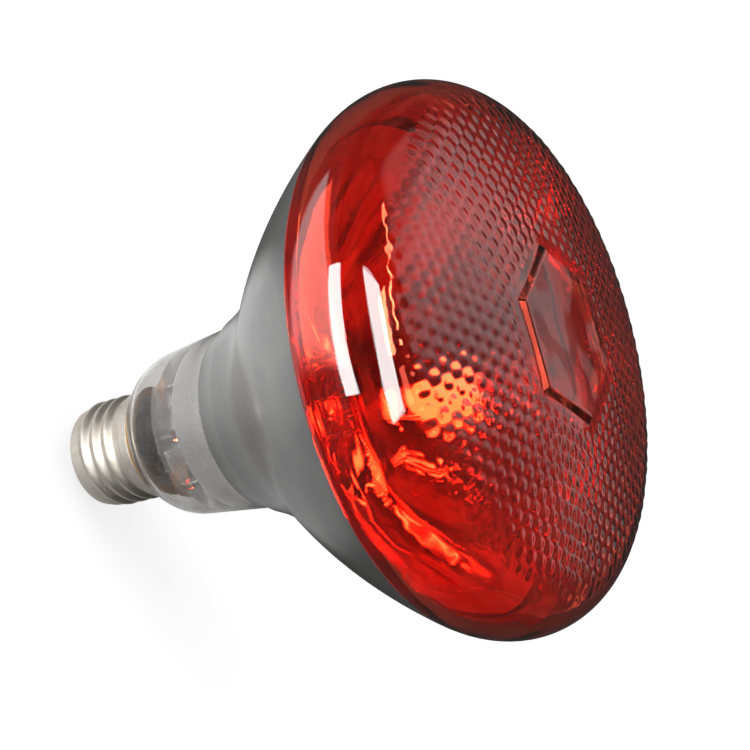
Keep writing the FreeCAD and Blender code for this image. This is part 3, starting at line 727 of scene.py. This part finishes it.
offset = vectors(thread, "SCALE", vectors(thread, "NORMALIZE", flat), Scale=push)
moved = add(thread, "GeometryNodeSetPosition", Geometry=entry["Geometry"], Offset=offset)
end_tree(thread, moved.outputs["Geometry"], entry["Finish"], out)
bake_tree(shell, thread, Start=THREAD_START * MM, Pitch=PITCH * MM, Turns=TURNS, Depth=(CREST - ROOT) * MM,
          Run_Out=0.35, Finish=cap_nickel)
settle(shell, "screw_shell")

# %% [markdown]
# The filament is a tungsten wire wound into a coil, with straight tails that rest on the posts. A Spiral Curve node
# winds it, and Curve to Mesh gives the wire its thickness, so its turns and sizes stay inputs.

# %% Filament
coil_tree, entry, out = make_tree("wound_coil", [
    ("Radius", "NodeSocketFloat", 0.0013), ("Length", "NodeSocketFloat", 0.014), ("Turns", "NodeSocketFloat", 11.0),
    ("Wire", "NodeSocketFloat", 0.00028), ("Tail", "NodeSocketFloat", 0.003), ("Finish", "NodeSocketMaterial", None)])
spiral = add(coil_tree, "GeometryNodeCurveSpiral", Resolution=24, Rotations=entry["Turns"],
             Height=entry["Length"], Start_Radius=entry["Radius"], End_Radius=entry["Radius"])
half = sums(coil_tree, "MULTIPLY", entry["Length"], 0.5)
down = add(coil_tree, "ShaderNodeCombineXYZ", Z=sums(coil_tree, "MULTIPLY", half, -1.0)).outputs[0]
centred = add(coil_tree, "GeometryNodeTransform", Geometry=spiral.outputs["Curve"], Translation=down)
joined = add(coil_tree, "GeometryNodeJoinGeometry")
coil_tree.links.new(centred.outputs["Geometry"], joined.inputs["Geometry"])
for way in (1.0, -1.0):
    near_end = add(coil_tree, "ShaderNodeCombineXYZ", X=entry["Radius"], Z=sums(coil_tree, "MULTIPLY", half, way))
    far = sums(coil_tree, "MULTIPLY", sums(coil_tree, "ADD", half, entry["Tail"]), way)
    far_end = add(coil_tree, "ShaderNodeCombineXYZ", X=entry["Radius"], Z=far)
    tail = add(coil_tree, "GeometryNodeCurvePrimitiveLine", Start=near_end.outputs[0], End=far_end.outputs[0])
    coil_tree.links.new(tail.outputs["Curve"], joined.inputs["Geometry"])
ring = add(coil_tree, "GeometryNodeCurvePrimitiveCircle", Resolution=8, Radius=entry["Wire"])
wired = add(coil_tree, "GeometryNodeCurveToMesh", Curve=joined.outputs["Geometry"],
            Profile_Curve=ring.outputs["Curve"], Fill_Caps=True)
smooth = add(coil_tree, "GeometryNodeSetShadeSmooth", Geometry=wired.outputs["Mesh"])
end_tree(coil_tree, smooth.outputs["Geometry"], entry["Finish"], out)

COIL_RADIUS, WIRE_RADIUS, TAIL = 1.3 * MM, 0.28 * MM, 3.4 * MM
low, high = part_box("filament")
coil = new_piece("filament_coil", bmesh.new(), [tungsten])
bake_tree(coil, coil_tree, Radius=COIL_RADIUS, Length=2 * (high[0] - TAIL), Turns=11.0, Wire=WIRE_RADIUS, Tail=TAIL,
          Finish=tungsten)
coil.data.transform(Matrix(((0, 0, 1), (1, 0, 0), (0, 1, 0))).to_4x4())
coil.data.transform(Matrix.Translation((0, 0, (low[2] + high[2]) / 2)))
settle(coil, "filament")


# %% [markdown]
# The small pieces have the right shape in the CAD model already. A smooth-shaded copy of each takes its place: the
# loose triangles are merged, so that its curves can be shaded smooth, and the copy gets its own finish.

# %% Small pieces
def dressed(node, finish):
    mesh = bmesh.new()
    mesh.from_mesh(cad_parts[node].data)
    bmesh.ops.remove_doubles(mesh, verts=mesh.verts, dist=1e-7)
    piece = new_piece(node + "_piece", mesh, [finish])
    for face in piece.data.polygons:
        face.material_index = 0
    piece.data.shade_smooth()
    piece.data.set_sharp_from_angle(angle=SHARP_ANGLE)
    settle(piece, node)


for side in ("left", "right"):
    dressed(f"ferrule_{side}", copper)
    dressed(f"lead_post_{side}", nickel_wire)
for lead in ("filament_support", "contact_lead", "side_lead"):
    dressed(lead, nickel_wire)
dressed("post_bridge", clear)
dressed("exhaust_tube", smoked)
dressed("insulator", black_glass)
dressed("contact_plate", brass)
dressed("contact_solder", solder)
dressed("cement_ring", cement)

# %% [markdown]
# The studio has a pale floor, a white surround for what the camera sees directly, and a dim room for what the glass
# reflects, with a few softboxes in it. The floor looks white to the camera and still shows the lamp's soft shadow,
# because only a part of its light is its own. A reflection sees a dim floor, apart from two places of painted light:
# a glowing disc round the cap, a painted reflection that brightens the cap's lower side, and a glowing strip in front
# of the lamp, painted light seen in reflections and, much brighter, through glass; neither is a lamp.
# A view through glass sees a floor in between: pale is how much paler it is there than in a reflection.

# %% Floor
FLOOR_REACH = 3


def stage_floor():
    mesh = bmesh.new()
    for x, y in ((-1, -1), (1, -1), (1, 1), (-1, 1)):
        mesh.verts.new((x * FLOOR_REACH, y * FLOOR_REACH, 0))
    mesh.faces.new(mesh.verts)
    paint, tree, shader, place = new_finish("floor_finish", Roughness=0.9)
    where = add(tree, "ShaderNodeSeparateXYZ", Vector=place).outputs
    middle = vectors(tree, "LENGTH", place)
    # Painted glow: a disc round the cap that shines only in reflections, like a pool of light on the floor.
    foot = sums(tree, "MULTIPLY", fade(tree, middle, 0.055, 0.080, 1.0, 0.0),
                fade(tree, where["X"], -0.02, 0.03, 1.0, 0.45))
    # Painted glow: a strip in front of the lamp that shines in reflections and, much brighter, through glass.
    painted_glow_strip = sums(tree, "MULTIPLY", fade(tree, where["X"], -0.04, 0.0, 1.0, 0.0),
                fade(tree, where["X"], -0.30, -0.27, 0.0, 1.0))
    painted_glow_strip = sums(tree, "MULTIPLY", painted_glow_strip, fade(tree, where["Y"], -0.08, -0.06, 1.0, 0.0))
    path = tree.nodes.new("ShaderNodeLightPath").outputs
    pale = sums(tree, "ADD", fade(tree, where["X"], -0.09, 0.0, 0.62, 0.3),
                fade(tree, middle, 0.14, 0.20, 0.35, 0.0))
    pale = sums(tree, "MULTIPLY", path["Is Transmission Ray"], pale)
    dim = sums(tree, "SUBTRACT", path["Is Glossy Ray"], pale)
    dim = sums(tree, "MULTIPLY", dim, sums(tree, "SUBTRACT", 1.0, sums(tree, "MAXIMUM", foot, painted_glow_strip)))
    vary_colour(tree, shader, dim, (0.92, 0.92, 0.92), (0.05, 0.05, 0.05))
    # Emission: the even white seen by the camera, plus the painted glow of the disc and the strip.
    glare = sums(tree, "MULTIPLY", path["Is Glossy Ray"], 0.8)
    glare = sums(tree, "MULTIPLY", sums(tree, "MULTIPLY_ADD", path["Is Transmission Ray"], 7.0, glare), painted_glow_strip)
    glare = sums(tree, "MULTIPLY_ADD", sums(tree, "MULTIPLY", foot, path["Is Glossy Ray"]), 0.5, glare)
    glare = sums(tree, "MULTIPLY_ADD", path["Is Camera Ray"], 0.68, glare)
    tree.links.new(glare, shader.inputs["Emission Strength"])
    shader.inputs["Emission Color"].default_value = (1, 1, 1, 1)
    floor = new_piece("floor", mesh, [paint])
    print("floor:", FLOOR_REACH * 2, "m wide")


stage_floor()

# %% [markdown]
# The world is a room painted by direction. A reflection sees a dark room with a pale ceiling behind the lamp, which
# gives the grey sheen across the pebbles, and a low pale wall that greys the window. A ray that comes through glass
# sees cloudy patches and nothing bright overhead on the near side. Diffuse light is even, and the camera sees white.

# %% World
ROOM_GLOW, DIFFUSE_LEVEL = 0.04, 0.34
world = bpy.data.worlds.new("studio")
bpy.context.scene.world = world
world.use_nodes = True
tree = world.node_tree
background = tree.nodes["Background"]
direction = tree.nodes.new("ShaderNodeTexCoord").outputs["Generated"]
way = add(tree, "ShaderNodeSeparateXYZ", Vector=direction).outputs
ceiling = sums(tree, "MULTIPLY", fade(tree, way["Z"], 0.42, 0.54, 0.0, 1.0),
               fade(tree, way["X"], -0.25, 0.12, 1.0, 0.03))
ceiling = sums(tree, "MULTIPLY", ceiling, fade(tree, way["Y"], -0.12, 0.06, 0.0, 0.7))
ceiling = sums(tree, "MULTIPLY", ceiling, fade(tree, way["X"], -0.65, -0.30, 0.4, 1.0))
wall = sums(tree, "MULTIPLY", fade(tree, way["Z"], 0.400, 0.412, 0.0, 0.40),
            fade(tree, way["Y"], 0.80, 0.86, 0.0, 1.0))
mirrored = sums(tree, "ADD", sums(tree, "MAXIMUM", ceiling, wall), ROOM_GLOW)
overhead = sums(tree, "MULTIPLY", fade(tree, way["Z"], 0.30, 0.48, 0.0, 1.0),
                fade(tree, way["Y"], -0.35, -0.05, 1.0, 0.0))
patches = add(tree, "ShaderNodeTexNoise", "room", Vector=direction, Scale=5.0, Detail=2.0, Roughness=0.5)
room = fade(tree, patches.outputs["Fac"], 0.42, 0.58, 0.24, 0.74)
through = sums(tree, "MULTIPLY", sums(tree, "MULTIPLY_ADD", overhead, -0.8, 1.0), room)
path = tree.nodes.new("ShaderNodeLightPath").outputs
glossy = sums(tree, "MULTIPLY", path["Is Glossy Ray"], sums(tree, "SUBTRACT", 1.0, path["Is Transmission Ray"]))
level = sums(tree, "MULTIPLY_ADD", glossy, mirrored, sums(tree, "MULTIPLY", path["Is Transmission Ray"], through))
level = sums(tree, "ADD", level, sums(tree, "MULTIPLY", path["Is Diffuse Ray"], DIFFUSE_LEVEL))
level = sums(tree, "MAXIMUM", level, path["Is Camera Ray"])
tree.links.new(level, background.inputs["Strength"])
background.inputs["Color"].default_value = (1, 1, 1, 1)
print("world:", len(tree.nodes), "nodes")


# %% [markdown]
# One soft key lights the lamp. The other boxes light nothing. Two are only reflected, as the pair of white strips
# on the near edge of the lens, and a small salmon one gleams in the near side of the window. Three more are only
# seen through glass: the mirror behind the lens shows them as the fire inside the lamp. The strength is a radiance,
# so that a box keeps its brightness when its size changes.

# %% Softboxes
def softbox(name, place, target, size, radiance, mirrored=True, through=True, lights=True, colour=(1, 1, 1)):
    light = bpy.data.lights.new(name, "AREA")
    light.shape = "RECTANGLE"
    light.size, light.size_y = size
    light.energy = radiance * math.pi * size[0] * size[1]
    light.color = colour
    box = bpy.data.objects.new(name, light)
    bpy.context.scene.collection.objects.link(box)
    box.location = place
    box.rotation_euler = (Vector(target) - Vector(place)).to_track_quat("-Z", "Y").to_euler()
    box.visible_camera = False
    box.visible_glossy = mirrored
    box.visible_transmission = through
    box.visible_diffuse = lights
    print(f"{name}: {light.energy:.1f} W")


reflected = {"through": False, "lights": False}
behind_glass = {"mirrored": False, "lights": False}
softbox("near_strip", (-0.135, -0.45, 0.068), (-0.135, 0, 0.068), (0.41, 0.13), 11.0, **reflected)
softbox("high_near", (-0.075, -0.45, 0.60), (-0.075, 0, 0.60), (0.55, 0.34), 10.0, **reflected)
softbox("window_glint", (0.078, -0.32, 0.88), (0, 0, 0.136), (0.16, 0.16), 8.0, **reflected, colour=(1.0, 0.14, 0.08))
softbox("glow_box", (-0.13, -0.30, 0.60), (-0.13, -0.299, 0.0), (0.20, 0.13), 90.0, **behind_glass)
softbox("glow_line", (-0.16, -0.138, 0.60), (-0.16, -0.137, 0.0), (0.16, 0.022), 170.0, **behind_glass)
softbox("glow_end", (-0.40, -0.09, 0.60), (-0.40, -0.089, 0.0), (0.30, 0.018), 110.0, **behind_glass)
softbox("key", (-0.70, -0.50, 0.25), (0, 0, 0.08), (0.6, 0.6), 4.2, mirrored=False, through=False)

# %% [markdown]
# A ray into the lamp crosses the lens twice and meets the mirror in between, so it needs many bounces. The clamp is
# high, because a low one turns the orange glow red. Light through curved glass is left out: it is slow and noisy.

# %% Light paths
cycles = bpy.context.scene.cycles
cycles.max_bounces = 20
cycles.transmission_bounces = 18
cycles.glossy_bounces = 10
cycles.transparent_max_bounces = 16
cycles.sample_clamp_indirect = 150.0
cycles.caustics_refractive = False
cycles.caustics_reflective = False
bpy.context.scene.view_settings.view_transform = "Standard"
print("light paths: up to", cycles.max_bounces, "bounces")
